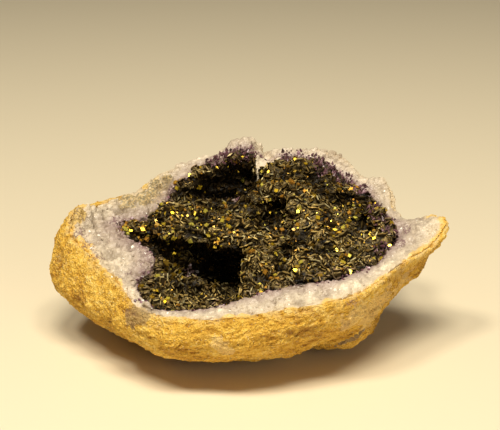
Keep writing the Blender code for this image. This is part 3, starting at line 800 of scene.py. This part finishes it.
def make_quartz_material(mottle, patch):
    material, tree, shader = new_material("pale_quartz")
    place = object_place(tree)
    stone, broad, fine, specks = quartz_colour(tree, mottle, place)
    across = value_of(tree, "across")
    pale_edge = calc(tree, "MULTIPLY", between(tree, across, 0.33, 0.14), 0.75)
    stone = mix(tree, pale_edge, stone, (0.62, 0.5, 0.33))
    uneven = calc(tree, "SUBTRACT", broad, 0.5)
    stain = between(tree, calc(tree, "ADD", across, uneven), 0.16, 0.07)
    depth = add(tree, "ShaderNodeSeparateXYZ", {"Vector": place}).outputs["Y"]
    in_front = between(tree, depth, 0.024, 0.016)
    stain = calc(tree, "MULTIPLY", stain, calc(tree, "MULTIPLY", in_front, 0.85))
    stone = mix(tree, stain, stone, (0.76, 0.5, 0.14))
    join = between(tree, calc(tree, "ADD", across, calc(tree, "MULTIPLY", uneven, 0.3)), 0.07, 0.03)
    stone = mix(tree, calc(tree, "MULTIPLY", join, in_front), stone, (0.72, 0.44, 0.08))
    cream = patches(tree, patch, place, CREAM_STAINS, 2.4)
    greenish = mix(tree, between(tree, fine, 0.4, 0.6), (0.22, 0.18, 0.09), (0.58, 0.42, 0.18))
    stone = mix(tree, calc(tree, "MULTIPLY", cream, 0.85), stone, greenish)
    cap = patches(tree, patch, place, OCHRE_CAP, 1.2)
    buff = mix(tree, between(tree, fine, 0.42, 0.58), (0.22, 0.13, 0.04), (0.58, 0.4, 0.13))
    stone = mix(tree, calc(tree, "MULTIPLY", cap, 0.95), stone, buff)
    inner = calc(tree, "MULTIPLY", between(tree, across, 0.4, 0.8), between(tree, broad, 0.3, 0.5))
    stone = mix(tree, calc(tree, "MULTIPLY", inner, 0.75), stone, (0.37, 0.28, 0.24))
    inner = calc(tree, "MULTIPLY", between(tree, across, 0.72, 0.95), between(tree, fine, 0.38, 0.55))
    inner = calc(tree, "MAXIMUM", inner, calc(tree, "MULTIPLY", between(tree, across, 0.6, 0.95), specks))
    stains = patches(tree, patch, place, PURPLE_STAINS, 2.8)
    stains = calc(tree, "MULTIPLY", stains, between(tree, fine, 0.45, 0.58))
    inner = calc(tree, "MAXIMUM", inner, stains)
    stone = mix(tree, calc(tree, "MULTIPLY", inner, 0.75), stone, (0.15, 0.07, 0.08))
    brown = patches(tree, patch, place, BROWN_KNOB, 0.8)
    stone = mix(tree, calc(tree, "MULTIPLY", brown, 0.95), stone, (0.06, 0.035, 0.018))
    notch = patches(tree, patch, place, NOTCH, 2.0)
    stone = mix(tree, calc(tree, "MULTIPLY", notch, 0.7), stone, (0.34, 0.25, 0.15))
    # A few quartz grains painted near white as sparkle, a painted highlight.
    painted_glint = between(tree, value_of(tree, "tone"), 0.93, 0.94)
    stone = mix(tree, painted_glint, stone, (1.0, 0.95, 0.84))
    # Painted shade: darker where the relief sinks into cracks.
    painted_crevice_shade = between(tree, value_of(tree, "relief"), -0.35, -1.1)
    stone = mix(tree, calc(tree, "MULTIPLY", painted_crevice_shade, 0.5), stone, (0.17, 0.12, 0.07))
    tree.links.new(stone, shader.inputs["Base Color"])
    rough = ramp(tree, fine, [(0.35, 0.25), (0.65, 0.6)])
    tree.links.new(rough, shader.inputs["Roughness"])
    bump(tree, shader, fine, 0.3)
    return material


def make_bed_material(mottle):
    material, tree, shader = new_material("crystal_matrix")
    place = object_place(tree)
    fine, _ = mottled(tree, mottle, place, 0.8)
    # Pale tan on the crests of the cells, scaled by the tan coating with painted light and shade; near
    # black between them.
    rim = calc(tree, "MULTIPLY", value_of(tree, "rim"), value_of(tree, "dust_and_painted_light"))
    stone = mix(tree, rim, (0.006, 0.004, 0.002), (0.26, 0.18, 0.06))
    pale = calc(tree, "MULTIPLY", between(tree, fine, 0.48, 0.68), rim)
    stone = mix(tree, pale, stone, (0.55, 0.4, 0.14))
    white, _, _, _ = quartz_colour(tree, mottle, place)
    white = mix(tree, 0.5, white, (0.8, 0.7, 0.52))
    stone = mix(tree, between(tree, value_of(tree, "white"), 0.35, 0.6), stone, white)
    tree.links.new(stone, shader.inputs["Base Color"])
    shader.inputs["Roughness"].default_value = 0.5
    shader.inputs["Specular IOR Level"].default_value = 0.2
    bump(tree, shader, fine, 0.4)
    return material


def make_blade_material():
    material, tree, shader = new_material("bronzed_blade")
    # Tan on the upper edges: partly real tan coating, partly a painted highlight from above, with painted
    # shade in the dips, pits and pocket.
    rim = between(tree, value_of(tree, "edge"), 0.3, 0.75)
    rim = calc(tree, "MULTIPLY", rim, value_of(tree, "dust_and_painted_light"))
    tan = ramp(tree, value_of(tree, "tint"), [(0.0, (0.2, 0.115, 0.03)), (0.35, (0.6, 0.4, 0.12)),
                                              (0.65, (0.95, 0.69, 0.23)), (1.0, (1.0, 0.88, 0.46))])
    lip = calc(tree, "MULTIPLY", value_of(tree, "lip"), 0.7)
    tan = mix(tree, lip, tan, (0.4, 0.28, 0.22))
    tree.links.new(mix(tree, rim, (0.01, 0.006, 0.002), tan), shader.inputs["Base Color"])
    shader.inputs["Roughness"].default_value = 0.45
    shader.inputs["Specular IOR Level"].default_value = 0.25
    shader.inputs["Specular Tint"].default_value = (1, 0.68, 0.3, 1)
    return material


def make_bronze_material():
    material, tree, shader = new_material("bronzed_point")
    tone = value_of(tree, "tone")
    body = ramp(tree, tone, [(0.0, (0.014, 0.008, 0.003)), (0.5, (0.034, 0.019, 0.007)),
                             (0.85, (0.08, 0.048, 0.014)), (0.95, (0.25, 0.17, 0.03)),
                             (1.0, (0.6, 0.42, 0.06))])
    # Tan on the upper edges: partly real tan coating, partly a painted highlight from above, with painted
    # shade in the dips, pits and pocket.
    rim = between(tree, value_of(tree, "edge"), 0.6, 0.95)
    rim = calc(tree, "MULTIPLY", rim, calc(tree, "MULTIPLY", value_of(tree, "dust_and_painted_light"), 0.6))
    tan = ramp(tree, value_of(tree, "tint"), [(0.0, (0.06, 0.04, 0.012)), (0.6, (0.2, 0.13, 0.04)),
                                              (1.0, (0.5, 0.36, 0.1))])
    tree.links.new(mix(tree, rim, body, tan), shader.inputs["Base Color"])
    metal = calc(tree, "SUBTRACT", 0.6, calc(tree, "MULTIPLY", rim, 0.5))
    tree.links.new(metal, shader.inputs["Metallic"])
    rough = ramp(tree, value_of(tree, "tint"), [(0.0, 0.35), (1.0, 0.6)])
    tree.links.new(rough, shader.inputs["Roughness"])
    shader.inputs["Specular IOR Level"].default_value = 0.1
    shader.inputs["Specular Tint"].default_value = (1, 0.62, 0.25, 1)
    return material


def make_gold_material():
    material, tree, shader = new_material("gilded_crystal")
    gold = ramp(tree, value_of(tree, "tone"), [(0.0, (0.09, 0.05, 0.01)), (0.4, (0.3, 0.18, 0.02)),
                                               (0.65, (0.9, 0.6, 0.03)), (1.0, (1.0, 0.92, 0.16))])
    orange = between(tree, value_of(tree, "tint"), 0.7, 0.78)
    gold = mix(tree, calc(tree, "MULTIPLY", orange, 0.7), gold, (0.7, 0.33, 0.04))
    tree.links.new(gold, shader.inputs["Base Color"])
    shader.inputs["Metallic"].default_value = 0.7
    rough = ramp(tree, value_of(tree, "tint"), [(0.0, 0.24), (1.0, 0.42)])
    tree.links.new(rough, shader.inputs["Roughness"])
    return material


def make_purple_material():
    material, tree, shader = new_material("amethyst")
    stone = ramp(tree, value_of(tree, "tone"), [(0.0, (0.02, 0.008, 0.01)), (0.5, (0.08, 0.028, 0.04)),
                                                (0.8, (0.19, 0.08, 0.11)), (1.0, (0.42, 0.26, 0.3))])
    # Pale upper edges and points, a painted highlight.
    rim = between(tree, value_of(tree, "edge"), 0.6, 1.0)
    pale = mix(tree, value_of(tree, "tint"), (0.06, 0.03, 0.025), (0.34, 0.2, 0.2))
    tree.links.new(mix(tree, rim, stone, pale), shader.inputs["Base Color"])
    shader.inputs["Roughness"].default_value = 0.25
    return material


def make_lilac_material():
    material, tree, shader = new_material("lilac_quartz")
    # Lilac to near white; the near-white end is a painted highlight standing for a sparkle.
    stone = ramp(tree, value_of(tree, "tone"), [(0.0, (0.3, 0.17, 0.16)), (0.7, (0.6, 0.4, 0.38)),
                                                (1.0, (1.0, 0.95, 0.88))])
    tree.links.new(stone, shader.inputs["Base Color"])
    rough = ramp(tree, value_of(tree, "tint"), [(0.0, 0.1), (1.0, 0.3)])
    tree.links.new(rough, shader.inputs["Roughness"])
    return material


def make_plain(name, colour, roughness):
    material, _, shader = new_material(name)
    shader.inputs["Base Color"].default_value = (*colour, 1.0)
    shader.inputs["Roughness"].default_value = roughness
    return material


# ---- Camera, floor and light


def point_at(thing, target):
    thing.rotation_mode = "QUATERNION"
    thing.rotation_quaternion = (target - thing.location).to_track_quat("-Z", "Y")


def make_camera():
    data = bpy.data.cameras.new("camera")
    data.lens = LENS
    data.sensor_width = SENSOR
    data.clip_start = 0.01
    camera = bpy.data.objects.new("camera", data)
    bpy.context.scene.collection.objects.link(camera)
    back = Vector((0, -math.cos(VIEW_DOWN), math.sin(VIEW_DOWN)))
    camera.location = VIEW_AIM + back * VIEW_DISTANCE
    point_at(camera, VIEW_AIM)
    bpy.context.scene.camera = camera


def make_light(name, place, size, power, colour):
    data = bpy.data.lights.new(name, "AREA")
    data.shape = "SQUARE"
    data.size = size
    data.energy = power
    data.color = colour
    light = bpy.data.objects.new(name, data)
    bpy.context.scene.collection.objects.link(light)
    light.location = place
    point_at(light, Vector((0, 0, 0.03)))


def make_studio():
    bpy.ops.object.select_all(action="DESELECT")
    bpy.ops.mesh.primitive_plane_add(size=6, location=(0, 0, 0))
    floor = bpy.context.object
    floor.name = "floor"
    floor.data.materials.append(make_plain("pale_floor", (0.8, 0.7, 0.5), 0.5))
    for lamp in LAMPS:
        make_light(*lamp)
    world = bpy.data.worlds.new("studio")
    world.use_nodes = True
    room = world.node_tree.nodes["Background"]
    room.inputs["Color"].default_value = (1.0, 0.93, 0.82, 1)
    room.inputs["Strength"].default_value = ROOM_LIGHT
    bpy.context.scene.world = world
    bpy.context.scene.view_settings.view_transform = "Standard"


# ---- The whole


def dress(piece, material, node=None):
    piece.data.materials.clear()
    piece.data.materials.append(material)
    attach(piece, "root")
    if node:
        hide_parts(node)


def main():
    make_camera()
    make_studio()
    rind_tree = tree_of("rind")
    quartz_tree = tree_of("quartz_wall")
    crust_tree = tree_of("crystal_crust")
    skin = make_rind_skin(quartz_tree)
    quartz = make_quartz_rock(rind_tree, crust_tree)
    bed = make_crystal_bed(rind_tree)
    crystals = make_crystals(bed, quartz, quartz_tree, rind_tree, crust_tree)
    blades, points, gold, purple, spill, lilac, milky = crystals
    mottle = make_mottle()
    patch = make_patch()
    dress(skin, make_rind_material(mottle, patch), "rind")
    quartz_look = make_quartz_material(mottle, patch)
    dress(quartz, quartz_look, "quartz_wall")
    dress(bed, make_bed_material(mottle), "crystal_crust")
    dress(blades, make_blade_material())
    dress(points, make_bronze_material())
    dress(gold, make_gold_material())
    amethyst = make_purple_material()
    dress(purple, amethyst)
    dress(spill, amethyst)
    dress(lilac, make_lilac_material())
    dress(milky, quartz_look)


main()
